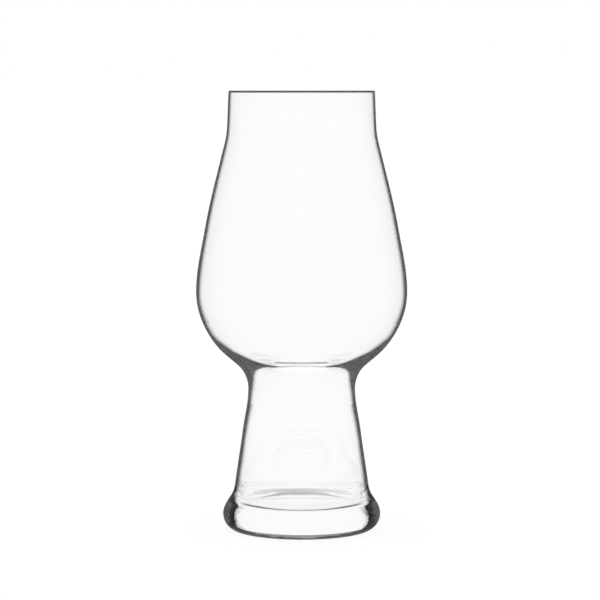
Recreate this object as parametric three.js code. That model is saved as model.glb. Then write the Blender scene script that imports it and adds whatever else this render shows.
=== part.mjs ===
// Stemmed beer glass in clear blown glass: lip, collar, bowl, neck, hollow stem and solid foot.
// Millimetres, +Z up, origin on the axis of the glass in the plane that it stands on.
import * as THREE from "three";

// Height of the whole glass, and the share of its free height that goes to the stem's taper
const GLASS_HEIGHT = 183.5;
const STEM_SHARE = 0.42853;

// Outside radii, from the foot up
const REST_RADIUS = 26.3;
const FOOT_RADIUS = 32.93;
const FLARE_RADIUS = 29.7;
const STEM_FOOT_RADIUS = 27.94;
const STEM_TOP_RADIUS = 24.64;
const WAIST_RADIUS = 22.3;
const NECK_RADIUS = 26.81;
const CUP_RADIUS = 35.37;
const BELLY_RADIUS = 43.98;
const BOWL_RADIUS = 40.19;
const SHOULDER_RADIUS = 33.16;
const COLLAR_FOOT_RADIUS = 31.02;
const COLLAR_TOP_RADIUS = 30.44;

// Height of each stretch; the stem's taper and the shoulder share the height that is left
const FOOT_EDGE_RISE = 6.9;
const FLARE_RISE = 7.3;
const FOOT_TOP_RISE = 4.94;
const WAIST_RISE = 17.39;
const NECK_RISE = 10.16;
const CUP_RISE = 7.85;
const BELLY_RISE = 22.66;
const BOWL_RISE = 26.52;
const COLLAR_FOOT_RISE = 10.63;
const COLLAR_RISE = 13.33;
const LIP_RISE = 2.5;

// Lean of the outside from the vertical on the way down, in degrees, outwards positive
const FLARE_LEAN = 33.5;
const STEM_LEAN = 7.5;
const NECK_LEAN = -49;
const CUP_LEAN = -39.4;
const BOWL_LEAN = 10;
const SHOULDER_LEAN = 13.9;
const COLLAR_FOOT_LEAN = 3.4;
const COLLAR_LEAN = 2.5;

// Wall thickness, square to the outside
const LIP_WALL = 1.05;
const COLLAR_WALL = 1.05;
const SHOULDER_WALL = 1.1;
const BOWL_WALL = 1.2;
const BELLY_WALL = 1.35;
const CUP_WALL = 2;
const NECK_WALL = 3.2;
const WAIST_WALL = 1.8;
const STEM_WALL = 1.35;
const FOOT_WALL = 1.5;

// Throat: the narrow ring inside the neck, between the bowl and the stem
const THROAT_INSET = 2;
const THROAT_DROP = 2.05;
const THROAT_LEAN = -20;
const BOWL_FLOOR_LEAN = -58;
const WAIST_INSIDE_LEAN = 4;

// Domed floor inside the stem, resting ring and hollow under the foot
const FLOOR_EDGE_HEIGHT = 10.4;
const FLOOR_RADIUS = 24.5;
const FLOOR_DOME = 2.5;
const FLOOR_SIDE_LEAN = -3;
const REST_RING_WIDTH = 4;
const PUNT_DEPTH = 1.4;

// Glass
const GLASS_COLOUR = 0xf3f6f6;
const GLASS_OPACITY = 0.35;
const WALL_ROUGHNESS = 0.02;
const FOOT_ROUGHNESS = 0.03;

// Facets
const SEGMENTS = 48;
const TURN_PER_STEP = 12;
const LENGTH_PER_STEP = 11;
const LIP_ROUND_STEPS = 8;
const DOME_STEPS = 6;

// A station is a point of the outline with the direction in which the outline passes through it.
function station(radius, height, lean) {
  const angle = THREE.MathUtils.degToRad(lean);
  return {
    point: new THREE.Vector2(radius, height),
    angle,
    direction: new THREE.Vector2(Math.sin(angle), -Math.cos(angle)),
  };
}

// The station on the inside of the wall, square across from an outside station.
function inside(outer, wall, lean = THREE.MathUtils.radToDeg(outer.angle)) {
  const radius = outer.point.x - wall * Math.cos(outer.angle);
  const height = outer.point.y - wall * Math.sin(outer.angle);
  return station(radius, height, lean);
}

// Smooth curve from one station to the next, close to a circular arc where the two agree.
function sweep(from, to) {
  const turn = to.angle - from.angle;
  const handle = from.point.distanceTo(to.point) / (3 * Math.cos(turn / 4) ** 2);
  const first = from.point.clone().addScaledVector(from.direction, handle);
  const second = to.point.clone().addScaledVector(to.direction, -handle);
  return new THREE.CubicBezierCurve(from.point, first, second, to.point);
}

// Points along a row of stations, closer together where the outline turns.
function outline(stations) {
  const points = [stations[0].point];
  for (let i = 1; i < stations.length; i += 1) {
    const curve = sweep(stations[i - 1], stations[i]);
    const turn = THREE.MathUtils.radToDeg(Math.abs(stations[i].angle - stations[i - 1].angle));
    const turnSteps = Math.ceil(turn / TURN_PER_STEP);
    const lengthSteps = Math.ceil(curve.getLength() / LENGTH_PER_STEP);
    points.push(...curve.getSpacedPoints(Math.max(turnSteps, lengthSteps)).slice(1));
  }
  return points;
}

// Height that the lip adds, and the height that is left for the stem's taper and the shoulder
const lipRound = LIP_WALL / 2;
const lipLean = THREE.MathUtils.degToRad(COLLAR_LEAN);
const lipHeight = (LIP_RISE - lipRound) * Math.cos(lipLean) + lipRound * (1 - Math.sin(lipLean));
const footHeight = FOOT_EDGE_RISE + FLARE_RISE + FOOT_TOP_RISE;
const waistToBowl = WAIST_RISE + NECK_RISE + CUP_RISE + BELLY_RISE + BOWL_RISE;
const mouthHeight = COLLAR_FOOT_RISE + COLLAR_RISE + lipHeight;
const freeHeight = GLASS_HEIGHT - footHeight - waistToBowl - mouthHeight;

// Heights of the stations above the table
const footEdgeHeight = FOOT_EDGE_RISE;
const flareHeight = footEdgeHeight + FLARE_RISE;
const footTopHeight = flareHeight + FOOT_TOP_RISE;
const stemTopHeight = footTopHeight + freeHeight * STEM_SHARE;
const waistHeight = stemTopHeight + WAIST_RISE;
const neckHeight = waistHeight + NECK_RISE;
const cupHeight = neckHeight + CUP_RISE;
const bellyHeight = cupHeight + BELLY_RISE;
const bowlHeight = bellyHeight + BOWL_RISE;
const shoulderHeight = bowlHeight + freeHeight * (1 - STEM_SHARE);
const collarFootHeight = shoulderHeight + COLLAR_FOOT_RISE;
const collarTopHeight = collarFootHeight + COLLAR_RISE;

// Stations of the outside, from the lip down
const collarTop = station(COLLAR_TOP_RADIUS, collarTopHeight, COLLAR_LEAN);
const collarFoot = station(COLLAR_FOOT_RADIUS, collarFootHeight, COLLAR_FOOT_LEAN);
const shoulder = station(SHOULDER_RADIUS, shoulderHeight, SHOULDER_LEAN);
const bowl = station(BOWL_RADIUS, bowlHeight, BOWL_LEAN);
const belly = station(BELLY_RADIUS, bellyHeight, 0);
const cup = station(CUP_RADIUS, cupHeight, CUP_LEAN);
const neck = station(NECK_RADIUS, neckHeight, NECK_LEAN);
const waist = station(WAIST_RADIUS, waistHeight, 0);
const stemTop = station(STEM_TOP_RADIUS, stemTopHeight, STEM_LEAN);
const stemFoot = station(STEM_FOOT_RADIUS, footTopHeight, STEM_LEAN);
const flare = station(FLARE_RADIUS, flareHeight, FLARE_LEAN);
const footEdge = station(FOOT_RADIUS, footEdgeHeight, 0);
const rest = station(REST_RADIUS, 0, -90);

// Stations of the inside, across the wall from those of the outside
const collarTopInside = inside(collarTop, LIP_WALL);
const collarFootInside = inside(collarFoot, COLLAR_WALL);
const shoulderInside = inside(shoulder, SHOULDER_WALL);
const bowlInside = inside(bowl, BOWL_WALL);
const bellyInside = inside(belly, BELLY_WALL);
const cupInside = inside(cup, CUP_WALL);
const neckInside = inside(neck, NECK_WALL, BOWL_FLOOR_LEAN);
const throat = station(WAIST_RADIUS - THROAT_INSET, neckHeight - THROAT_DROP, THROAT_LEAN);
const waistInside = inside(waist, WAIST_WALL, WAIST_INSIDE_LEAN);
const stemTopInside = inside(stemTop, STEM_WALL);
const stemFootInside = inside(stemFoot, FOOT_WALL, FLOOR_SIDE_LEAN);
const floorEdge = station(FLOOR_RADIUS, FLOOR_EDGE_HEIGHT, -90);
const floorTop = station(0, FLOOR_EDGE_HEIGHT + FLOOR_DOME, -90);

const glass = new THREE.Group();

// Turns a profile round the axis of the glass into one named piece.
function addTurned(name, profile, roughness) {
  const geometry = new THREE.LatheGeometry(profile, SEGMENTS);
  geometry.rotateX(Math.PI / 2);
  const material = new THREE.MeshStandardMaterial({
    color: GLASS_COLOUR,
    roughness,
    metalness: 0,
    transparent: true,
    opacity: GLASS_OPACITY,
  });
  const mesh = new THREE.Mesh(geometry, material);
  mesh.name = name;
  glass.add(mesh);
}

// A stretch of wall: up the outside, across to the inside, down the inside and back across.
function addWall(name, outerStations, innerStations) {
  const outer = outline(outerStations).reverse();
  const inner = outline(innerStations);
  addTurned(name, [...outer, ...inner, outer[0]], WALL_ROUGHNESS);
}

// Lip: the last stretch of the wall, melted round at its top
function addLip() {
  const rise = collarTop.direction.clone().multiplyScalar(lipRound - LIP_RISE);
  const outer = collarTop.point.clone().add(rise);
  const inner = collarTopInside.point.clone().add(rise);
  const centre = outer.clone().lerp(inner, 0.5);
  const start = -collarTop.angle;
  const end = start + Math.PI;
  const round = new THREE.EllipseCurve(centre.x, centre.y, lipRound, lipRound, start, end);
  const roundPoints = round.getPoints(LIP_ROUND_STEPS);
  const profile = [collarTop.point, ...roundPoints, collarTopInside.point, collarTop.point];
  addTurned("rim_lip", profile, WALL_ROUGHNESS);
}

// Foot: solid glass, with the stem's domed floor above and a shallow hollow inside the resting ring
function addFoot() {
  const puntTop = station(0, PUNT_DEPTH, 90);
  const ringInside = station(REST_RADIUS - REST_RING_WIDTH, 0, 90);
  const punt = sweep(puntTop, ringInside).getPoints(DOME_STEPS);
  const outer = outline([stemFoot, flare, footEdge, rest]).reverse();
  const inner = outline([stemFootInside, floorEdge]);
  const dome = sweep(floorEdge, floorTop).getPoints(DOME_STEPS).slice(1);
  addTurned("foot", [...punt, ...outer, ...inner, ...dome], FOOT_ROUGHNESS);
}

addLip();
addWall(
  "mouth_collar",
  [collarTop, collarFoot, shoulder],
  [collarTopInside, collarFootInside, shoulderInside],
);
addWall("bowl_shoulder", [shoulder, bowl, belly], [shoulderInside, bowlInside, bellyInside]);
addWall("bowl_cup", [belly, cup, neck], [bellyInside, cupInside, neckInside]);
addWall("neck_ring", [neck, waist], [neckInside, throat, waistInside]);
addWall("hollow_stem", [waist, stemTop, stemFoot], [waistInside, stemTopInside, stemFootInside]);
addFoot();

export default glass;
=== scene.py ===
"""Stemmed beer glass: turned sections of clear glass, their finishes, a white studio and the camera."""

import logging
import math
from dataclasses import dataclass, field
from enum import Enum
from typing import Iterator, Sequence, Union

import bpy
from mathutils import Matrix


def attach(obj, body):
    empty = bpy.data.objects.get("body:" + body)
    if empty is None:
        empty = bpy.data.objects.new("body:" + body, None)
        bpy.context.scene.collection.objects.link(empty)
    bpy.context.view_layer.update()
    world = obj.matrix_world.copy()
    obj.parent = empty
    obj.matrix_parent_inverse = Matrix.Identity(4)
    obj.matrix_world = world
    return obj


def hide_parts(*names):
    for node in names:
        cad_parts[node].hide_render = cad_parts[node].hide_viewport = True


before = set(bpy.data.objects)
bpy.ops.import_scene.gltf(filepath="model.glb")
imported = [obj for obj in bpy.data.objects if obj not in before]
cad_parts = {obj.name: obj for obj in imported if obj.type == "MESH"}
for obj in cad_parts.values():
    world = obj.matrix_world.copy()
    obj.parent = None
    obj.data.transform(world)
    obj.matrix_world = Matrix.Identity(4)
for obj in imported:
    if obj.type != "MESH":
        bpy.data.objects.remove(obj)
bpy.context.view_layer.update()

log = logging.getLogger("stemmed_glass")

MM = 0.001
BODY = "root"

Colour = tuple[float, float, float]
Value = Union[bpy.types.NodeSocket, float, int]


class Side(Enum):
    """The side of the wall that an outline runs along, with the turn from its direction to its normal."""

    OUTSIDE = 1.0
    INSIDE = -1.0


class Ring(Enum):
    """The attributes that each ring of a turned section carries."""

    NORMAL = "turn_normal"
    END_ON = "end_on"
    FUSED = "fused"


class Slot(Enum):
    """The material slots of the record."""

    LIP = "lip_glass"
    WALL = "wall_glass"
    NECK = "neck_glass"
    FOOT = "foot_glass"


class Show(Enum):
    """Shares of the radius for rings that get the painted edge shade nowhere or all round."""

    NOWHERE = 2.0
    ALL_ROUND = -1.0


@dataclass(frozen=True)
class Station:
    """A point that an outline passes through.

    Args:
        radius: distance from the axis of the glass, in millimetres.
        height: height above the table, in millimetres.
        lean: lean of the outline from the vertical on its way down, in degrees, outwards positive.
    """

    radius: float
    height: float
    lean: float

    @property
    def angle(self) -> float:
        """The lean in radians."""
        return math.radians(self.lean)

    @property
    def direction(self) -> tuple[float, float]:
        """The direction of the outline on its way down."""
        return math.sin(self.angle), -math.cos(self.angle)

    def across(self, wall: float, lean: float | None = None) -> "Station":
        """Finds the station on the other side of the wall.

        Args:
            wall: thickness of the wall, square to this side.
            lean: lean of the other side, where it differs from this one.

        Returns:
            The station on the inside of the wall.
        """
        radius = self.radius - wall * math.cos(self.angle)
        height = self.height - wall * math.sin(self.angle)
        return Station(radius, height, self.lean if lean is None else lean)

    def above(self, rise: float) -> tuple[float, float]:
        """Finds the radius and height of the point that lies straight up the lean, in millimetres."""
        return self.radius - rise * self.direction[0], self.height - rise * self.direction[1]


@dataclass(frozen=True)
class RingPoint:
    """One ring of a turned section, as a point of its outline.

    Args:
        radius: radius of the ring, in millimetres.
        height: height of the ring, in millimetres.
        normal: outward normal in the plane of the outline.
        end_on: share of the radius beyond which the wall is seen end-on through this ring, and gets painted shade.
        fused: whether the ring edges a seam.
    """

    radius: float
    height: float
    normal: tuple[float, float]
    end_on: float = Show.NOWHERE.value
    fused: bool = False

    def marked(self, end_on: float, fused: bool = False) -> "RingPoint":
        """Gives the same ring its end-on share and seam."""
        return RingPoint(self.radius, self.height, self.normal, end_on, fused)


@dataclass
class Outline:
    """The outside and inside of the whole glass, shared by its sections, in millimetres and degrees.

    The stations from collar_top to rest lie on the outside, from the lip down. The throat and the two of
    the floor lie on the inside. Each wall is the thickness at the station of that name, square to the
    outside, and each lean is that of the inside where it differs from the outside across the wall.
    """

    collar_top: Station = Station(30.44, 181.025, 2.5)
    collar_foot: Station = Station(31.02, 167.695, 3.4)
    shoulder: Station = Station(33.16, 157.065, 13.9)
    bowl: Station = Station(40.19, 126.58, 10.0)
    belly: Station = Station(43.98, 100.06, 0.0)
    cup: Station = Station(35.37, 77.4, -39.4)
    neck: Station = Station(26.81, 69.55, -49.0)
    waist: Station = Station(22.3, 59.39, 0.0)
    stem_top: Station = Station(24.64, 42.0, 7.5)
    stem_foot: Station = Station(27.94, 19.14, 7.5)
    flare: Station = Station(29.7, 14.2, 33.5)
    foot_edge: Station = Station(32.93, 6.9, 0.0)
    rest: Station = Station(26.3, 0.0, -90.0)
    throat: Station = Station(20.3, 67.5, -20.0)
    floor_edge: Station = Station(24.5, 10.4, -90.0)
    floor_top: Station = Station(0.0, 12.9, -90.0)
    lip_wall: float = 1.05
    collar_wall: float = 1.05
    shoulder_wall: float = 1.1
    bowl_wall: float = 1.2
    belly_wall: float = 1.35
    cup_wall: float = 2.0
    neck_wall: float = 3.2
    waist_wall: float = 1.8
    stem_wall: float = 1.35
    foot_wall: float = 1.5
    bowl_floor_lean: float = -58.0
    waist_inside_lean: float = 4.0
    floor_side_lean: float = -3.0

    @property
    def outside(self) -> list[Station]:
        """The stations of the outside, from the lip down."""
        return [
            self.collar_top, self.collar_foot, self.shoulder, self.bowl, self.belly, self.cup, self.neck,
            self.waist, self.stem_top, self.stem_foot, self.flare, self.foot_edge, self.rest,
        ]

    @property
    def inside(self) -> list[Station]:
        """The stations of the inside, from the lip down to the middle of the floor."""
        return [
            self.collar_top.across(self.lip_wall),
            self.collar_foot.across(self.collar_wall),
            self.shoulder.across(self.shoulder_wall),
            self.bowl.across(self.bowl_wall),
            self.belly.across(self.belly_wall),
            self.cup.across(self.cup_wall),
            self.neck.across(self.neck_wall, self.bowl_floor_lean),
            self.throat,
            self.waist.across(self.waist_wall, self.waist_inside_lean),
            self.stem_top.across(self.stem_wall),
            self.stem_foot.across(self.foot_wall, self.floor_side_lean),
            self.floor_edge,
            self.floor_top,
        ]


# Most that an outline turns in one step, in degrees, and the longest step, in millimetres
TURN_PER_STEP = 2.0
LENGTH_PER_STEP = 0.5


def normal_of(run: Sequence[float], side: Side) -> tuple[float, float]:
    """Finds the outward normal of an outline.

    Args:
        run: direction of the outline on its way down.
        side: side of the wall that the outline runs along.

    Returns:
        The normal, of length one.
    """
    length = math.hypot(run[0], run[1])
    return -run[1] * side.value / length, run[0] * side.value / length


def sweep(start: Station, end: Station, side: Side) -> Iterator[RingPoint]:
    """Runs a smooth curve from one station to the next.

    Args:
        start: station to start from, which is left out.
        end: station to end at.
        side: side of the wall that the curve runs along.

    Returns:
        The rings after the first, in order.
    """
    chord = math.hypot(end.radius - start.radius, end.height - start.height)
    handle = chord / (3 * math.cos((end.angle - start.angle) / 4) ** 2)
    p0, p3 = (start.radius, start.height), (end.radius, end.height)
    p1 = tuple(p + handle * d for p, d in zip(p0, start.direction))
    p2 = tuple(p - handle * d for p, d in zip(p3, end.direction))
    corners = list(zip(p0, p1, p2, p3))
    steps = math.ceil(max(abs(end.lean - start.lean) / TURN_PER_STEP, chord / LENGTH_PER_STEP))
    for step in range(1, steps + 1):
        t = step / steps
        s = 1 - t
        at = [s ** 3 * a + 3 * s * s * t * b + 3 * s * t * t * c + t ** 3 * d for a, b, c, d in corners]
        run = [s * s * (b - a) + 2 * s * t * (c - b) + t * t * (d - c) for a, b, c, d in corners]
        yield RingPoint(at[0], at[1], normal_of(run, side))


def trace(stations: list[Station], side: Side) -> list[RingPoint]:
    """Runs a smooth outline through a row of stations.

    Args:
        stations: the stations, in order.
        side: side of the wall that the outline runs along.

    Returns:
        The rings of the outline, in the same order.
    """
    first = stations[0]
    rings = [RingPoint(first.radius, first.height, normal_of(first.direction, side))]
    for start, end in zip(stations, stations[1:]):
        rings.extend(sweep(start, end, side))
    return rings


@dataclass
class Wall:
    """Tells where the wall is seen end-on, at any height, and so where shade is painted on the glass.

    Args:
        outline: outline of the glass.
        neck: heights, each with the share of the radius that is seen clear round the thick neck, with painted shade
            beyond; the low shares also paint the dark wedge and the dark line across the neck.
        foot: heights, each with the share of the radius that is seen clear in the solid foot and low stem, with
            painted shade beyond.
        rind: thickness of the wall, from the hollow out, that is still seen clear elsewhere, before the painted shade
            begins.
    """

    outline: Outline
    neck: tuple[tuple[float, float], ...] = (
        (54.0, 0.963), (58.7, 0.957), (62.25, 0.921), (65.9, 0.859), (67.85, 0.8), (68.9, 0.745), (70.2, 0.65),
        (70.7, 0.585), (71.1, 0.42), (71.5, 0.32), (71.8, 0.47), (72.2, 0.58), (72.9, 0.63), (73.7, 0.688),
        (74.5, 0.726), (75.2, 0.762), (76.8, 0.842), (78.1, 0.876), (79.4, 0.907), (81.2, 0.949), (83.0, 0.963),
        (88.0, 0.972),
    )
    foot: tuple[tuple[float, float], ...] = (
        (0.0, 0.9), (0.6, 0.885), (1.5, 0.903), (2.5, 0.93), (3.6, 0.92), (5.1, 0.89), (7.4, 0.865), (9.8, 0.86),
        (11.6, 0.859), (12.2, 0.868), (13.0, 0.92), (13.8, 0.955), (15.9, 0.962), (18.8, 0.966), (26.0, 0.966),
        (30.0, 0.964), (34.4, 0.965), (38.6, 0.967), (42.0, 0.964),
    )
    rind: float = 0.45
    hollow: list[tuple[float, float]] = field(init=False)

    def __post_init__(self) -> None:
        """Takes the hollow of the glass from its outline."""
        inner = trace(self.outline.inside[:-1], Side.INSIDE)
        self.hollow = sorted((ring.height, ring.radius) for ring in inner)

    def at(self, table: Sequence[tuple[float, float]], height: float) -> float:
        """Reads a table by height.

        Args:
            table: heights, from the lowest up, each with its value.
            height: height to read it at, in millimetres.

        Returns:
            The value there.
        """
        for (z0, v0), (z1, v1) in zip(table, table[1:]):
            if z0 < z1 and height <= z1:
                return v0 + (v1 - v0) * max(height - z0, 0.0) / (z1 - z0)
        return table[-1][1]

    def end_on(self, ring: RingPoint) -> float:
        """Finds the share of a ring's radius beyond which the wall is seen end-on and shade is painted.

        Args:
            ring: ring of the outside.

        Returns:
            The share.
        """
        for table in (self.neck, self.foot):
            if table[0][0] <= ring.height <= table[-1][0]:
                return self.at(table, ring.height)
        return (self.at(self.hollow, ring.height) + self.rind) / ring.radius

    def stretch(self, outer: list[Station], inner: list[Station]) -> list[RingPoint]:
        """Runs round a stretch of wall: up the outside, across, down the inside and back across.

        Args:
            outer: stations of the outside, from the top down.
            inner: stations of the inside, from the top down.

        Returns:
            The rings, closed on the first.
        """
        up = trace(outer, Side.OUTSIDE)[::-1]
        down = trace(inner, Side.INSIDE)
        rings = [r.marked(self.end_on(r), i in (0, len(up) - 1)) for i, r in enumerate(up)]
        rings += [r.marked(r.end_on, i in (0, len(down) - 1)) for i, r in enumerate(down)]
        rings.append(rings[0])
        return rings


class Nodes:
    """A node tree, with short ways to add and join its nodes."""

    # Sockets of a colour mix, by number, because the other kinds of mix use the same names
    MIX_INPUTS = (0, 6, 7)
    MIX_OUTPUT = 2

    def __init__(self, tree: bpy.types.NodeTree) -> None:
        """Takes the tree."""
        self.tree = tree

    def add(self, kind: str, **settings: object) -> bpy.types.Node:
        """Adds a node.

        Args:
            kind: type name of the node.
            settings: properties to set on it.

        Returns:
            The node.
        """
        node = self.tree.nodes.new(kind)
        for name, value in settings.items():
            setattr(node, name, value)
        return node

    def feed(self, socket: bpy.types.NodeSocket, value: object) -> None:
        """Links a socket to another one, or sets it to a plain value.

        Args:
            socket: socket of an input.
            value: socket to link it to, or plain value.
        """
        if isinstance(value, bpy.types.NodeSocket):
            self.tree.links.new(value, socket)
        else:
            socket.default_value = value

    def sum(self, operation: str, *values: Value, kind: str = "ShaderNodeMath") -> bpy.types.NodeSocket:
        """Adds a sum of one or two values.

        Args:
            operation: name of the operation.
            values: sockets or numbers to work with.
            kind: type name of the sum's node.

        Returns:
            The socket with the result.
        """
        node = self.add(kind, operation=operation)
        for socket, value in zip(node.inputs, values):
            self.feed(socket, value)
        return node.outputs["Value"]

    def whole(self, operation: str, *values: Value) -> bpy.types.NodeSocket:
        """Adds a sum of whole numbers and returns its result."""
        return self.sum(operation, *values, kind="FunctionNodeIntegerMath")

    def step(self, value: Value, start: Value, end: Value) -> bpy.types.NodeSocket:
        """Adds a rounded step from 0 to 1.

        Args:
            value: socket that goes through the step.
            start: value at which the step begins.
            end: value at which it is done, which may be the lower one.

        Returns:
            The socket with the step.
        """
        node = self.add("ShaderNodeMapRange", interpolation_type="SMOOTHSTEP")
        for name, given in (("Value", value), ("From Min", start), ("From Max", end)):
            self.feed(node.inputs[name], given)
        return node.outputs["Result"]

    def noise(self, place: bpy.types.NodeSocket, scale: Value, detail: float) -> bpy.types.NodeSocket:
        """Adds a noise.

        Args:
            place: socket with the place to read it at.
            scale: how close its spots are.
            detail: how many times finer noise is laid over it.

        Returns:
            The socket with the noise.
        """
        node = self.add("ShaderNodeTexNoise", noise_dimensions="3D")
        for name, given in (("Vector", place), ("Scale", scale), ("Detail", detail)):
            self.feed(node.inputs[name], given)
        return node.outputs["Fac"]

    def mix(self, share: Value, first: object, second: object) -> bpy.types.NodeSocket:
        """Mixes two colours.

        Args:
            share: share of the second one.
            first: socket with the first colour.
            second: socket with the second colour.

        Returns:
            The socket with the mixed colour.
        """
        node = self.add("ShaderNodeMix", data_type="RGBA")
        for number, value in zip(self.MIX_INPUTS, (share, first, second)):
            self.feed(node.inputs[number], value)
        return node.outputs[self.MIX_OUTPUT]


class TurnedTree:
    """The node tree that turns an outline round the axis into a closed mesh."""

    FACETS = "Facets"
    GLASS = "Glass"
    SEAM = "Fused Seam"
    # Distance, in metres, within which points are joined, and fused value from which a face is a seam
    CLOSE = 1e-6
    SEAM_LEAST = 0.9

    def __init__(self) -> None:
        """Builds the tree once, for all sections."""
        self.tree = bpy.data.node_groups.new("turned_section", "GeometryNodeTree")
        self.tree.is_modifier = True
        self.nodes = Nodes(self.tree)
        sockets = self.tree.interface
        sockets.new_socket("Outline", in_out="INPUT", socket_type="NodeSocketGeometry")
        self.inputs = {
            name: sockets.new_socket(name, in_out="INPUT", socket_type=kind).identifier
            for name, kind in (
                (self.FACETS, "NodeSocketInt"),
                (self.GLASS, "NodeSocketMaterial"),
                (self.SEAM, "NodeSocketMaterial"),
            )
        }
        sockets.new_socket("Section", in_out="OUTPUT", socket_type="NodeSocketGeometry")
        self._wire()

    def _sample(self, outline: bpy.types.NodeSocket, value: bpy.types.NodeSocket, kind: str,
                row: bpy.types.NodeSocket) -> bpy.types.NodeSocket:
        """Reads a value from the outline's point for each ring.

        Args:
            outline: socket with the outline.
            value: field to read.
            kind: data type of the field.
            row: socket with the number of the ring.

        Returns:
            The socket with the value.
        """
        node = self.nodes.add("GeometryNodeSampleIndex", data_type=kind, domain="POINT")
        for name, given in (("Geometry", outline), ("Value", value), ("Index", row)):
            self.nodes.feed(node.inputs[name], given)
        return node.outputs["Value"]

    def _attribute(self, ring: Ring, kind: str) -> bpy.types.NodeSocket:
        """Reads a named attribute of the outline.

        Args:
            ring: attribute to read.
            kind: data type of the attribute.

        Returns:
            The socket with its field.
        """
        node = self.nodes.add("GeometryNodeInputNamedAttribute", data_type=kind)
        node.inputs["Name"].default_value = ring.value
        return node.outputs["Attribute"]

    def _turn(self, point: bpy.types.NodeSocket, angle: bpy.types.NodeSocket) -> bpy.types.NodeSocket:
        """Turns a point or normal of the outline round the axis.

        Args:
            point: socket with the vector in the plane of the outline.
            angle: socket with the angle.

        Returns:
            The socket with the turned vector.
        """
        parts = self.nodes.add("ShaderNodeSeparateXYZ")
        whole = self.nodes.add("ShaderNodeCombineXYZ")
        self.nodes.feed(parts.inputs[0], point)
        for axis, operation in (("X", "COSINE"), ("Y", "SINE")):
            share = self.nodes.sum(operation, angle)
            self.nodes.feed(whole.inputs[axis], self.nodes.sum("MULTIPLY", parts.outputs["X"], share))
        self.nodes.feed(whole.inputs["Z"], parts.outputs["Z"])
        return whole.outputs[0]

    def _store(self, mesh: bpy.types.NodeSocket, ring: Ring, kind: str,
               value: bpy.types.NodeSocket) -> bpy.types.NodeSocket:
        """Stores an attribute on the points of the mesh.

        Args:
            mesh: socket with the mesh.
            ring: attribute to store.
            kind: data type of the attribute.
            value: socket with its value.

        Returns:
            The socket with the mesh.
        """
        node = self.nodes.add("GeometryNodeStoreNamedAttribute", data_type=kind, domain="POINT")
        for name, given in (("Name", ring.value), ("Geometry", mesh), ("Value", value)):
            self.nodes.feed(node.inputs[name], given)
        return node.outputs[0]

    def _pass(self, kind: str, geometry: bpy.types.NodeSocket, **inputs: object) -> bpy.types.NodeSocket:
        """Sends the geometry through one more node.

        Args:
            kind: type name of the node.
            geometry: socket with the geometry.
            inputs: other inputs of the node, by name.

        Returns:
            The socket with the geometry after it.
        """
        node = self.nodes.add(kind)
        self.nodes.feed(node.inputs["Geometry"], geometry)
        for name, value in inputs.items():
            self.nodes.feed(node.inputs[name], value)
        return node.outputs[0]

    def _wire(self) -> None:
        """Joins the nodes: a grid of facets by rings, rolled up on the outline, closed and given its glass."""
        nodes = self.nodes
        given = nodes.add("NodeGroupInput")
        made = nodes.add("NodeGroupOutput")
        outline = given.outputs["Outline"]
        facets = given.outputs[self.FACETS]
        count = nodes.add("GeometryNodeAttributeDomainSize", component="MESH")
        nodes.feed(count.inputs[0], outline)
        rings = count.outputs["Point Count"]
        grid = nodes.add("GeometryNodeMeshGrid")
        nodes.feed(grid.inputs["Vertices X"], nodes.whole("ADD", facets, 1))
        nodes.feed(grid.inputs["Vertices Y"], rings)
        index = nodes.add("GeometryNodeInputIndex").outputs[0]
        row = nodes.whole("MODULO", index, rings)
        column = nodes.whole("DIVIDE_FLOOR", index, rings)
        angle = nodes.sum("MULTIPLY", nodes.sum("DIVIDE", column, facets), math.tau)
        place = nodes.add("GeometryNodeInputPosition").outputs[0]
        point = self._turn(self._sample(outline, place, "FLOAT_VECTOR", row), angle)
        across = self._attribute(Ring.NORMAL, "FLOAT_VECTOR")
        normal = self._turn(self._sample(outline, across, "FLOAT_VECTOR", row), angle)
        mesh = self._store(grid.outputs["Mesh"], Ring.NORMAL, "FLOAT_VECTOR", normal)
        for ring in (Ring.END_ON, Ring.FUSED):
            value = self._sample(outline, self._attribute(ring, "FLOAT"), "FLOAT", row)
            mesh = self._store(mesh, ring, "FLOAT", value)
        mesh = self._pass("GeometryNodeSetPosition", mesh, Position=point)
        mesh = self._pass("GeometryNodeMergeByDistance", mesh, Distance=self.CLOSE)
        mesh = self._pass("GeometryNodeSetShadeSmooth", mesh)
        mesh = self._pass("GeometryNodeRealizeInstances", mesh)
        mesh = self._pass("GeometryNodeSetMaterial", mesh, Material=given.outputs[self.GLASS])
        fused = nodes.sum("GREATER_THAN", self._attribute(Ring.FUSED, "FLOAT"), self.SEAM_LEAST)
        mesh = self._pass("GeometryNodeSetMaterial", mesh, Material=given.outputs[self.SEAM], Selection=fused)
        nodes.feed(made.inputs[0], mesh)

    def _row(self, name: str, rings: list[RingPoint]) -> bpy.types.Mesh:
        """Lays the rings out as a row of points with their attributes.

        Args:
            name: name of the mesh.
            rings: the outline.

        Returns:
            The mesh.
        """
        mesh = bpy.data.meshes.new(name)
        mesh.from_pydata([(r.radius * MM, 0.0, r.height * MM) for r in rings], [], [])
        normals = [part for r in rings for part in (r.normal[0], 0.0, r.normal[1])]
        for ring, kind, part, values in (
            (Ring.NORMAL, "FLOAT_VECTOR", "vector", normals),
            (Ring.END_ON, "FLOAT", "value", [r.end_on for r in rings]),
            (Ring.FUSED, "FLOAT", "value", [float(r.fused) for r in rings]),
        ):
            mesh.attributes.new(ring.value, kind, "POINT").data.foreach_set(part, values)
        return mesh

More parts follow.
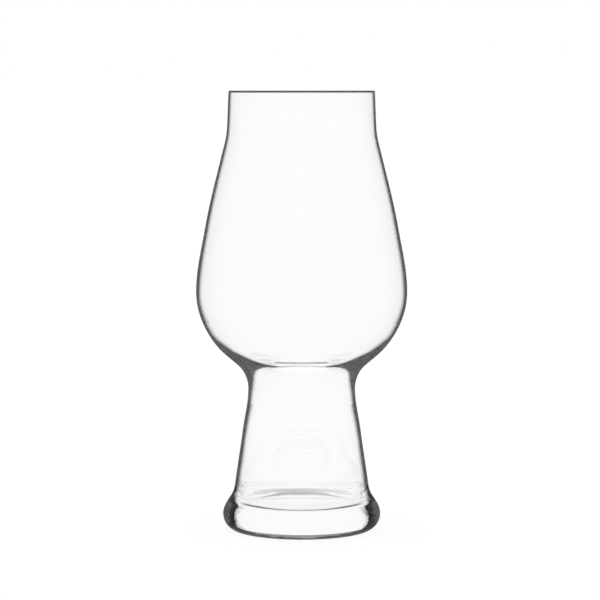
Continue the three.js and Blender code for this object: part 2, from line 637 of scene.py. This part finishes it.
    def turn(self, name: str, rings: list[RingPoint], facets: int, glass: bpy.types.Material,
             seam: bpy.types.Material) -> bpy.types.Object:
        """Turns an outline into a finished piece.

        Args:
            name: name of the piece.
            rings: the outline, round the section with the glass on its left.
            facets: facets round the axis.
            glass: material of the glass.
            seam: material of the seams where the section runs into the next.

        Returns:
            The piece, at the origin, with a plain mesh.
        """
        mesh = self._row(name, rings)
        piece = bpy.data.objects.new(name, mesh)
        bpy.context.scene.collection.objects.link(piece)
        modifier = piece.modifiers.new("turn", "NODES")
        modifier.node_group = self.tree
        modifier[self.inputs[self.FACETS]] = facets
        modifier[self.inputs[self.GLASS]] = glass
        modifier[self.inputs[self.SEAM]] = seam
        graph = bpy.context.evaluated_depsgraph_get()
        turned = bpy.data.meshes.new_from_object(piece.evaluated_get(graph), depsgraph=graph)
        piece.modifiers.remove(modifier)
        piece.data = turned
        bpy.data.meshes.remove(mesh)
        turned.name = name
        vectors = [tuple(entry.vector) for entry in turned.attributes[Ring.NORMAL.value].data]
        turned.normals_split_custom_set_from_vertices(vectors)
        for spent in (Ring.NORMAL, Ring.FUSED):
            turned.attributes.remove(turned.attributes[spent.value])
        return piece


class Effect:
    """A shader node group that more than one finish uses."""

    NAME = "effect"
    INPUTS: tuple[tuple[str, str], ...] = ()
    OUTPUT = ("Value", "NodeSocketFloat")

    @classmethod
    def tree(cls) -> bpy.types.NodeTree:
        """Builds the group, once.

        Returns:
            The group.
        """
        if cls.NAME in bpy.data.node_groups:
            return bpy.data.node_groups[cls.NAME]
        tree = bpy.data.node_groups.new(cls.NAME, "ShaderNodeTree")
        for name, kind in cls.INPUTS:
            tree.interface.new_socket(name, in_out="INPUT", socket_type=kind)
        tree.interface.new_socket(cls.OUTPUT[0], in_out="OUTPUT", socket_type=cls.OUTPUT[1])
        nodes = Nodes(tree)
        given = nodes.add("NodeGroupInput")
        made = nodes.add("NodeGroupOutput")
        nodes.feed(made.inputs[0], cls.wire(nodes, given.outputs))
        return tree

    @classmethod
    def wire(cls, nodes: Nodes, given: bpy.types.NodeOutputs) -> bpy.types.NodeSocket:
        """Joins the nodes of the group.

        Args:
            nodes: nodes of the group.
            given: sockets of its inputs.

        Returns:
            The socket with its output.
        """
        raise NotImplementedError

    @classmethod
    def place(cls, nodes: Nodes, **values: object) -> bpy.types.NodeSocket:
        """Places the group in a material.

        Args:
            nodes: nodes of the material.
            values: inputs of the group, by name, with _ for a space.

        Returns:
            The socket with its output.
        """
        node = nodes.add("ShaderNodeGroup", node_tree=cls.tree())
        for name, value in values.items():
            nodes.feed(node.inputs[name.replace("_", " ").title()], value)
        return node.outputs[0]


class EndOnPaintedShade(Effect):
    """Paints shade into the glass's colour where its wall is seen end-on, in place of the dark surroundings that bent
    light would show: one shade along the step, with wisps, and another beyond it and low on the foot.
    """

    NAME = "end_on_painted_shade"
    INPUTS = (
        ("Place", "NodeSocketVector"), ("Facing", "NodeSocketFloat"), ("Above", "NodeSocketFloat"),
        ("First", "NodeSocketFloat"), ("End On", "NodeSocketFloat"), ("Softness", "NodeSocketFloat"),
        ("Wisps", "NodeSocketFloat"), ("Clear", "NodeSocketColor"), ("Deep", "NodeSocketColor"),
        ("Smoky", "NodeSocketColor"),
    )
    OUTPUT = ("Tint", "NodeSocketColor")
    WISP_SCALE = 260.0
    WISP_DETAIL = 3.0
    WISP_MEAN = 0.5
    # Width of the step to the painted edge shade, as a multiple of the share beyond it, and its least width
    FALL = 2.0
    LEAST_FALL = 0.01
    # Width of the painted edge shade, as a share of the radius, and height in metres below which all takes the
    # painted outer shade
    CORE = 0.04
    HEEL = 0.002

    @classmethod
    def wire(cls, nodes: Nodes, given: bpy.types.NodeOutputs) -> bpy.types.NodeSocket:
        """Compares the sideways share of the radius with the share at which the wall is end-on, and paints shade
        beyond it.

        Args:
            nodes: nodes of the group.
            given: sockets of its inputs.

        Returns:
            The socket with the tint.
        """
        steep = nodes.sum("SUBTRACT", 1.0, given["Above"])
        level = nodes.sum("SQRT", nodes.sum("SUBTRACT", 1.0, nodes.sum("MULTIPLY", steep, steep)))
        cosine = nodes.sum("DIVIDE", nodes.sum("SUBTRACT", 1.0, given["Facing"]), level)
        aside = nodes.sum("SQRT", nodes.sum("SUBTRACT", 1.0, nodes.sum("MULTIPLY", cosine, cosine)))
        noise = nodes.noise(given["Place"], cls.WISP_SCALE, cls.WISP_DETAIL)
        wisp = nodes.sum("MULTIPLY", nodes.sum("SUBTRACT", noise, cls.WISP_MEAN), given["Wisps"])
        edge = nodes.sum("ADD", given["End On"], wisp)
        fall = nodes.sum("MULTIPLY", nodes.sum("SUBTRACT", 1.0, given["End On"]), cls.FALL)
        fall = nodes.sum("MINIMUM", nodes.sum("MAXIMUM", fall, cls.LEAST_FALL), given["Softness"])
        low = nodes.sum("SUBTRACT", edge, fall)
        parts = nodes.add("ShaderNodeSeparateXYZ")
        nodes.feed(parts.inputs[0], given["Place"])
        core = nodes.sum("ADD", edge, cls.CORE)
        beyond = nodes.step(aside, core, nodes.sum("ADD", core, cls.CORE))
        outer_shade_share = nodes.sum("MAXIMUM", beyond, nodes.step(parts.outputs["Z"], 2 * cls.HEEL, cls.HEEL))
        tint = nodes.mix(outer_shade_share, given["Deep"], given["Smoky"])
        # Painted shade: share of the dark tint, laid only on what the camera sees first
        seen = nodes.sum("MULTIPLY", nodes.step(aside, low, edge), given["First"])
        return nodes.mix(seen, given["Clear"], tint)


class BlownWaves(Effect):
    """Faint waves of a blown surface, as a height."""

    NAME = "blown_waves"
    INPUTS = (("Place", "NodeSocketVector"), ("Scale", "NodeSocketFloat"))
    OUTPUT = ("Height", "NodeSocketFloat")
    DRAWN = (1.0, 1.0, 0.45)
    DETAIL = 1.0

    @classmethod
    def wire(cls, nodes: Nodes, given: bpy.types.NodeOutputs) -> bpy.types.NodeSocket:
        """Takes the height from a slow noise, drawn out along the axis of the glass.

        Args:
            nodes: nodes of the group.
            given: sockets of its inputs.

        Returns:
            The socket with the height.
        """
        drawn = nodes.add("ShaderNodeMapping")
        nodes.feed(drawn.inputs["Vector"], given["Place"])
        drawn.inputs["Scale"].default_value = cls.DRAWN
        return nodes.noise(drawn.outputs[0], given["Scale"], cls.DETAIL)


class Polish(Effect):
    """Roughness of the polish, with handling marks and a worn resting ring."""

    NAME = "polish"
    INPUTS = (
        ("Place", "NodeSocketVector"), ("Least", "NodeSocketFloat"), ("Most", "NodeSocketFloat"),
        ("Worn", "NodeSocketFloat"),
    )
    OUTPUT = ("Roughness", "NodeSocketFloat")
    MARK_SCALE = 90.0
    MARK_DETAIL = 4.0
    MARK_STEP = (0.35, 0.7)
    SCRATCH_SCALE = 900.0
    SCRATCH_DETAIL = 2.0
    WEAR_TOP = 0.00025

    @classmethod
    def wire(cls, nodes: Nodes, given: bpy.types.NodeOutputs) -> bpy.types.NodeSocket:
        """Lays soft marks over the polish, and scratches close to the plane that the glass stands on.

        Args:
            nodes: nodes of the group.
            given: sockets of its inputs.

        Returns:
            The socket with the roughness.
        """
        marks = nodes.noise(given["Place"], cls.MARK_SCALE, cls.MARK_DETAIL)
        share = nodes.step(marks, *cls.MARK_STEP)
        span = nodes.sum("SUBTRACT", given["Most"], given["Least"])
        polish = nodes.sum("ADD", given["Least"], nodes.sum("MULTIPLY", share, span))
        scratches = nodes.noise(given["Place"], cls.SCRATCH_SCALE, cls.SCRATCH_DETAIL)
        parts = nodes.add("ShaderNodeSeparateXYZ")
        nodes.feed(parts.inputs[0], given["Place"])
        low = nodes.step(parts.outputs["Z"], cls.WEAR_TOP, 0.0)
        worn = nodes.sum("MULTIPLY", nodes.sum("MULTIPLY", low, scratches), given["Worn"])
        return nodes.sum("ADD", polish, worn)


# Blend of a Layer Weight node at which its Facing is one less the cosine of the angle of view
EVEN_BLEND = 0.5

# Share of each axis that is kept of a place that is laid level
LEVEL = (1.0, 1.0, 0.0)


@dataclass(frozen=True)
class GlassFinish:
    """A clear glass, with shade painted into its colour where its wall is seen end-on.

    Args:
        slot: material slot of the record.
        clear: tint of the glass seen square on.
        deep: painted shade of the glass where its wall is seen end-on.
        smoky: painted shade further out, where much of the wall is seen end-on, and low on the foot.
        softness: greatest width of the step to the painted edge shade, as a share of the radius.
        wisps: reach of the wisps along that step, as a share of the radius.
        smoothest: least roughness of the polish.
        dullest: most roughness of the polish.
        worn: roughness that wear adds on the resting ring.
        wave: height of the faint waves of the surface, in metres.
        wave_scale: how close the waves are.
        ior: index of refraction.
        shine: specular level.
        upright: whether the painted edge shade goes by the round of the wall alone, whatever its lean.
    """

    slot: Slot
    clear: Colour = (0.9994, 0.9998, 0.9997)
    # Painted shade where the wall is seen end-on
    deep: Colour = (0.012, 0.012, 0.013)
    smoky: Colour = (0.014, 0.014, 0.015)
    softness: float = 0.08
    wisps: float = 0.0
    smoothest: float = 0.0
    dullest: float = 0.006
    worn: float = 0.0
    wave: float = 2e-6
    wave_scale: float = 45.0
    ior: float = 1.5
    shine: float = 0.25
    upright: bool = True

    def material(self) -> bpy.types.Material:
        """Builds the material.

        Returns:
            The material, named after its slot.
        """
        made = bpy.data.materials.new(self.slot.value)
        made.use_nodes = True
        nodes = Nodes(made.node_tree)
        shader = made.node_tree.nodes["Principled BSDF"]
        shader.inputs["IOR"].default_value = self.ior
        shader.inputs["Transmission Weight"].default_value = 1.0
        shader.inputs["Specular IOR Level"].default_value = self.shine
        place = nodes.add("ShaderNodeTexCoord").outputs["Object"]
        end_on = nodes.add("ShaderNodeAttribute", attribute_name=Ring.END_ON.value).outputs["Fac"]
        path = nodes.add("ShaderNodeLightPath")
        # The base colour carries the painted shade, for camera rays only
        tint = EndOnPaintedShade.place(
            nodes, place=place, **self.turned(nodes, place), first=path.outputs["Is Camera Ray"], end_on=end_on,
            softness=self.softness, wisps=self.wisps, clear=(*self.clear, 1.0), deep=(*self.deep, 1.0),
            smoky=(*self.smoky, 1.0))
        nodes.feed(shader.inputs["Base Color"], tint)
        polish = Polish.place(nodes, place=place, least=self.smoothest, most=self.dullest, worn=self.worn)
        nodes.feed(shader.inputs["Roughness"], polish)
        bump = nodes.add("ShaderNodeBump")
        bump.inputs["Distance"].default_value = self.wave
        nodes.feed(bump.inputs["Height"], BlownWaves.place(nodes, place=place, scale=self.wave_scale))
        nodes.feed(shader.inputs["Normal"], bump.outputs["Normal"])
        return made

    def turned(self, nodes: Nodes, place: bpy.types.NodeSocket) -> dict[str, Value]:
        """Tells how far the wall turns aside, and from how high it is seen.

        Args:
            nodes: nodes of the material.
            place: socket with the place on the piece.

        Returns:
            The two as inputs of the end-on tint, by name.
        """
        facing = nodes.add("ShaderNodeLayerWeight")
        facing.inputs["Blend"].default_value = EVEN_BLEND
        if not self.upright:
            return {"facing": facing.outputs["Facing"], "above": 1.0}
        level = nodes.add("ShaderNodeVectorMath", operation="MULTIPLY")
        nodes.feed(level.inputs[0], place)
        level.inputs[1].default_value = LEVEL
        outward = nodes.add("ShaderNodeVectorMath", operation="NORMALIZE")
        nodes.feed(outward.inputs[0], level.outputs[0])
        nodes.feed(facing.inputs["Normal"], outward.outputs[0])
        upward = nodes.add("ShaderNodeCombineXYZ")
        upward.inputs["Z"].default_value = 1.0
        above = nodes.add("ShaderNodeLayerWeight")
        above.inputs["Blend"].default_value = EVEN_BLEND
        nodes.feed(above.inputs["Normal"], upward.outputs[0])
        return {"facing": facing.outputs["Facing"], "above": above.outputs["Facing"]}


@dataclass(frozen=True)
class SeamFinish:
    """A fused seam, where glass runs on into glass and nothing shows.

    Args:
        name: name of the material.
    """

    name: str = "fused_seam"

    def material(self) -> bpy.types.Material:
        """Builds the material.

        Returns:
            The material, fully see-through.
        """
        made = bpy.data.materials.new(self.name)
        made.use_nodes = True
        made.node_tree.nodes["Principled BSDF"].inputs["Alpha"].default_value = 0.0
        return made


@dataclass
class SubAssembly:
    """A part of the glass and its turned pieces.

    Args:
        outline: outline of the glass.
        wall: wall of the glass, for where it is seen end-on.
        facets: facets round the axis.
    """

    outline: Outline
    wall: Wall
    facets: int = 256
    pieces: dict[str, bpy.types.Object] = field(default_factory=dict, init=False)

    def sections(self) -> dict[str, tuple[Slot, list[RingPoint]]]:
        """Lists the sections. Their stations are counted along the outline, from the lip down.

        Returns:
            The sections by node, each with its slot and its rings.
        """
        raise NotImplementedError

    def build(self, tree: TurnedTree, glass: dict[Slot, bpy.types.Material], seam: bpy.types.Material) -> None:
        """Turns each section into a piece.

        Args:
            tree: node tree that turns an outline.
            glass: material of each slot.
            seam: material of the fused seams.
        """
        for node, (slot, rings) in self.sections().items():
            self.pieces[node] = tree.turn("clear_" + node, rings, self.facets, glass[slot], seam)

    def dress(self) -> None:
        """Puts each piece in its node's place, on the body of the glass, and hides the node."""
        for node, (slot, rings) in self.sections().items():
            piece = self.pieces[node]
            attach(piece, BODY)
            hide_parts(node)
            log.info("%s: %d rings, %d faces", piece.name, len(rings), len(piece.data.polygons))


@dataclass
class Bowl(SubAssembly):
    """The bowl with its collar and its melted lip.

    Args:
        lip_rise: height of the lip, along its lean.
        round_steps: steps round the melted top.
        painted_line_drop: how far the painted dark line of the lip reaches below its round top, on the outside.
        painted_line_fade: height over which the painted line ends.
    """

    lip_rise: float = 2.5
    round_steps: int = 48
    painted_line_drop: float = 0.3
    painted_line_fade: float = 0.05

    def lip(self) -> list[RingPoint]:
        """Runs up the outside of the lip, round its melted top and down the inside.

        Returns:
            The rings, closed on the first.
        """
        top = self.outline.collar_top
        half = self.outline.lip_wall / 2
        inner = top.across(self.outline.lip_wall)
        rise = self.lip_rise - half
        out = normal_of(top.direction, Side.OUTSIDE)
        share = (inner.radius + self.wall.rind) / top.radius
        middle = Station((top.radius + inner.radius) / 2, (top.height + inner.height) / 2, top.lean)
        mid_r, mid_z = middle.above(rise)
        rings = [RingPoint(top.radius, top.height, out, share, True)]
        # The round top and a strip just below it get painted shade all round: the lip's painted dark line
        for drop, end_on in ((self.painted_line_drop + self.painted_line_fade, share), (self.painted_line_drop, Show.ALL_ROUND.value)):
            rings.append(RingPoint(*top.above(rise - drop), out, end_on))
        for step in range(self.round_steps + 1):
            turn = -top.angle + math.pi * step / self.round_steps
            normal = (math.cos(turn), math.sin(turn))
            place = mid_r + half * normal[0], mid_z + half * normal[1]
            rings.append(RingPoint(*place, normal, Show.ALL_ROUND.value))
        back = (-out[0], -out[1])
        rings.append(RingPoint(*inner.above(rise - self.painted_line_fade), back))
        rings.append(RingPoint(inner.radius, inner.height, back, Show.NOWHERE.value, True))
        rings.append(rings[0])
        return rings

    def sections(self) -> dict[str, tuple[Slot, list[RingPoint]]]:
        """Lists the lip, the collar and the two halves of the bowl.

        Returns:
            The sections by node, each with its slot and its rings.
        """
        outer, inner = self.outline.outside, self.outline.inside
        return {
            "rim_lip": (Slot.LIP, self.lip()),
            "mouth_collar": (Slot.WALL, self.wall.stretch(outer[0:3], inner[0:3])),
            "bowl_shoulder": (Slot.WALL, self.wall.stretch(outer[2:5], inner[2:5])),
            "bowl_cup": (Slot.WALL, self.wall.stretch(outer[4:7], inner[4:7])),
        }


@dataclass
class Stem(SubAssembly):
    """The thick neck and the hollow stem below it."""

    def sections(self) -> dict[str, tuple[Slot, list[RingPoint]]]:
        """Lists the neck and the stem.

        Returns:
            The sections by node, each with its slot and its rings.
        """
        outer, inner = self.outline.outside, self.outline.inside
        return {
            "neck_ring": (Slot.NECK, self.wall.stretch(outer[6:8], inner[6:9])),
            "hollow_stem": (Slot.WALL, self.wall.stretch(outer[7:10], inner[8:11])),
        }


@dataclass
class Foot(SubAssembly):
    """The solid foot under the hollow stem.

    Args:
        ring_width: width of the flat resting ring.
        punt_depth: depth of the hollow inside the ring.
    """

    ring_width: float = 4.0
    punt_depth: float = 1.4

    def solid(self) -> list[RingPoint]:
        """Runs from the middle of the underside, up the outside and in over the floor to its middle.

        Returns:
            The rings, from pole to pole.
        """
        glass = self.outline
        ring = Station(glass.rest.radius - self.ring_width, 0.0, 90.0)
        under = trace([Station(0.0, self.punt_depth, 90.0), ring], Side.INSIDE)
        up = trace([glass.stem_foot, glass.flare, glass.foot_edge, glass.rest], Side.OUTSIDE)[::-1]
        side = [r.marked(self.wall.end_on(r), i == len(up) - 1) for i, r in enumerate(up)]
        floor = trace(glass.inside[-3:], Side.INSIDE)
        hollow = [r.marked(r.end_on, i == 0) for i, r in enumerate(floor)]
        return under + side + hollow

    def sections(self) -> dict[str, tuple[Slot, list[RingPoint]]]:
        """Lists the foot."""
        return {"foot": (Slot.FOOT, self.solid())}


WHITE = (1.0, 1.0, 1.0, 1.0)


@dataclass
class Studio:
    """White floor and surroundings, with dark patches painted into the floor's glow that only the glass's inner
    reflections show, and the camera, in metres.

    Args:
        floor_reach: half the width of the floor.
        floor_gap: hair's breadth between the floor and the glass.
        floor_grey: diffuse colour of the floor, which takes the shadow.
        floor_glow: strength of the floor's own white.
        world_glow: strength of the white all round.
        ambient: level of the soft light all round.
        outer_mirror: level of what the outside of the glass mirrors.
        front_patch_level: level of the painted dark patch on the floor close in front of the foot, which only the
            glass's inner reflections show.
        back_patch_level: level of the painted dark patch on the floor close behind the foot, at its right end.
        slant: distance from the axis at which the patch behind is that grey on the right, and black on the left.
        front_patch_radii: radii of the painted patch close in front of the foot.
        back_patch_radii: radii of the painted patch close behind the foot.
        patch_edge: half the width of the soft edge along a patch's radii.
        patch_fade: distance before or behind the axis over which a patch begins.
        camera_place: place of the camera.
        camera_tilt: tilt of the camera below the level, in degrees.
        camera_lens: focal length, in millimetres.
        sensor: width of the sensor, in millimetres.
    """

    floor_reach: float = 30.0
    floor_gap: float = 0.00005
    floor_grey: float = 0.15
    floor_glow: float = 0.88
    world_glow: float = 1.0
    ambient: float = 0.9
    outer_mirror: float = 0.1
    # Painted dark patches on the floor, shown only in the glass's inner reflections
    front_patch_level: float = 0.1
    back_patch_level: float = 0.4
    slant: float = 0.03
    front_patch_radii: tuple[float, float] = (0.027, 0.035)
    back_patch_radii: tuple[float, float] = (0.0315, 0.064)
    patch_edge: float = 0.001
    patch_fade: float = 0.01
    camera_place: tuple[float, float, float] = (-0.0007, -1.110, 0.18358)
    camera_tilt: float = 4.489
    camera_lens: float = 160.19
    sensor: float = 36.0

    def level(self, nodes: Nodes, white: float, mirrored: Value) -> bpy.types.NodeSocket:
        """Gives white to what is seen straight or through glass, and less to what is mirrored.

        Args:
            nodes: nodes of the world or of the floor's material.
            white: strength that is seen as white.
            mirrored: share of it that the glass mirrors from inside.

        Returns:
            The socket with the strength.
        """
        path = nodes.add("ShaderNodeLightPath").outputs
        seen = nodes.sum("MAXIMUM", path["Is Camera Ray"], path["Is Transmission Ray"])
        seen = nodes.sum("MAXIMUM", seen, path["Is Glossy Ray"])
        plain = nodes.sum("ADD", nodes.sum("MULTIPLY", seen, white - self.ambient), self.ambient)
        glossy = nodes.sum("MINIMUM", path["Glossy Depth"], 1.0)
        within = nodes.sum("MINIMUM", path["Transmission Depth"], 1.0)
        inner = nodes.sum("MULTIPLY", within, nodes.sum("SUBTRACT", mirrored, self.outer_mirror))
        share = nodes.sum("ADD", self.outer_mirror, inner)
        loss = nodes.sum("MULTIPLY", glossy, nodes.sum("SUBTRACT", 1.0, share))
        return nodes.sum("MULTIPLY", plain, nodes.sum("SUBTRACT", 1.0, loss))

    def painted_floor_patches(self, nodes: Nodes) -> bpy.types.NodeSocket:
        """Paints two dark patches into the floor's glow, close before the foot and close behind it, which only the
        glass's inner reflections show.

        Args:
            nodes: nodes of the floor's material.

        Returns:
            The socket with the level that the glass mirrors from inside.
        """
        place = nodes.add("ShaderNodeTexCoord").outputs["Object"]
        parts = nodes.add("ShaderNodeSeparateXYZ")
        nodes.feed(parts.inputs[0], place)
        length = nodes.add("ShaderNodeVectorMath", operation="LENGTH")
        nodes.feed(length.inputs[0], place)
        radius = length.outputs["Value"]
        soft = self.patch_edge

        def band(low: float, high: float) -> bpy.types.NodeSocket:
            """Marks the floor between two radii."""
            rise = nodes.step(radius, low - soft, low + soft)
            return nodes.sum("MULTIPLY", rise, nodes.step(radius, high + soft, high - soft))

        before = nodes.step(parts.outputs["Y"], 0.0, -self.patch_fade)
        behind = nodes.step(parts.outputs["Y"], 0.0, self.patch_fade)
        front = nodes.sum("MULTIPLY", nodes.sum("MULTIPLY", before, band(*self.front_patch_radii)), 1.0 - self.front_patch_level)
        tilt = nodes.step(parts.outputs["X"], self.slant, -self.slant)
        shade = nodes.sum("ADD", nodes.sum("MULTIPLY", tilt, self.back_patch_level), 1.0 - self.back_patch_level)
        back = nodes.sum("MULTIPLY", nodes.sum("MULTIPLY", behind, band(*self.back_patch_radii)), shade)
        return nodes.sum("SUBTRACT", 1.0, nodes.sum("MAXIMUM", front, back))

    def world(self) -> None:
        """Surrounds the glass with white."""
        world = bpy.data.worlds.new("studio")
        world.use_nodes = True
        bpy.context.scene.world = world
        back = world.node_tree.nodes["Background"]
        back.inputs["Color"].default_value = WHITE
        nodes = Nodes(world.node_tree)
        nodes.feed(back.inputs["Strength"], self.level(nodes, self.world_glow, 1.0))

    def floor(self) -> None:
        """Lays the floor."""
        reach = self.floor_reach
        corners = [(x * reach, y * reach, -self.floor_gap) for x, y in ((-1, -1), (1, -1), (1, 1), (-1, 1))]
        mesh = bpy.data.meshes.new("floor")
        mesh.from_pydata(corners, [], [(0, 1, 2, 3)])
        floor = bpy.data.objects.new("floor", mesh)
        bpy.context.scene.collection.objects.link(floor)
        made = bpy.data.materials.new("white_floor")
        made.use_nodes = True
        nodes = Nodes(made.node_tree)
        shader = made.node_tree.nodes["Principled BSDF"]
        shader.inputs["Base Color"].default_value = (self.floor_grey, self.floor_grey, self.floor_grey, 1.0)
        shader.inputs["Roughness"].default_value = 1.0
        shader.inputs["Specular IOR Level"].default_value = 0.0
        shader.inputs["Emission Color"].default_value = WHITE
        # The floor's glow carries the painted dark patches, which only the glass's inner reflections show
        nodes.feed(shader.inputs["Emission Strength"], self.level(nodes, self.floor_glow, self.painted_floor_patches(nodes)))
        mesh.materials.append(made)

    def camera(self) -> None:
        """Sets the camera at the photograph's place."""
        data = bpy.data.cameras.new("camera")
        data.sensor_width = self.sensor
        data.lens = self.camera_lens
        camera = bpy.data.objects.new("camera", data)
        camera.location = self.camera_place
        camera.rotation_euler = (math.radians(90 - self.camera_tilt), 0.0, 0.0)
        bpy.context.scene.collection.objects.link(camera)
        bpy.context.scene.camera = camera


# Finishes of the glass; their dark colours are painted shade where the wall is seen end-on
FINISHES = (
    GlassFinish(Slot.LIP),
    GlassFinish(Slot.WALL, softness=0.11),
    GlassFinish(Slot.NECK, deep=(0.016, 0.016, 0.017)),
    GlassFinish(
        Slot.FOOT, deep=(0.0006, 0.0006, 0.0006), smoky=(0.012, 0.012, 0.0125), wisps=0.12, worn=0.05, upright=False),
)

# Bounces that let the light find its way out of the solid foot
BOUNCES = 1024


def main() -> None:
    """Builds the glass, the studio and the camera."""
    logging.basicConfig(level=logging.INFO, format="%(name)s: %(message)s")
    scene = bpy.context.scene
    scene.view_settings.view_transform = "Standard"
    for bounces in ("max_bounces", "transmission_bounces", "glossy_bounces", "transparent_max_bounces"):
        setattr(scene.cycles, bounces, BOUNCES)
    outline = Outline()
    wall = Wall(outline)
    tree = TurnedTree()
    glass = {finish.slot: finish.material() for finish in FINISHES}
    seam = SeamFinish().material()
    for part in (Bowl(outline, wall), Stem(outline, wall), Foot(outline, wall)):
        part.build(tree, glass, seam)
        part.dress()
    studio = Studio()
    studio.world()
    studio.floor()
    studio.camera()


if __name__ == "__main__":
    main()
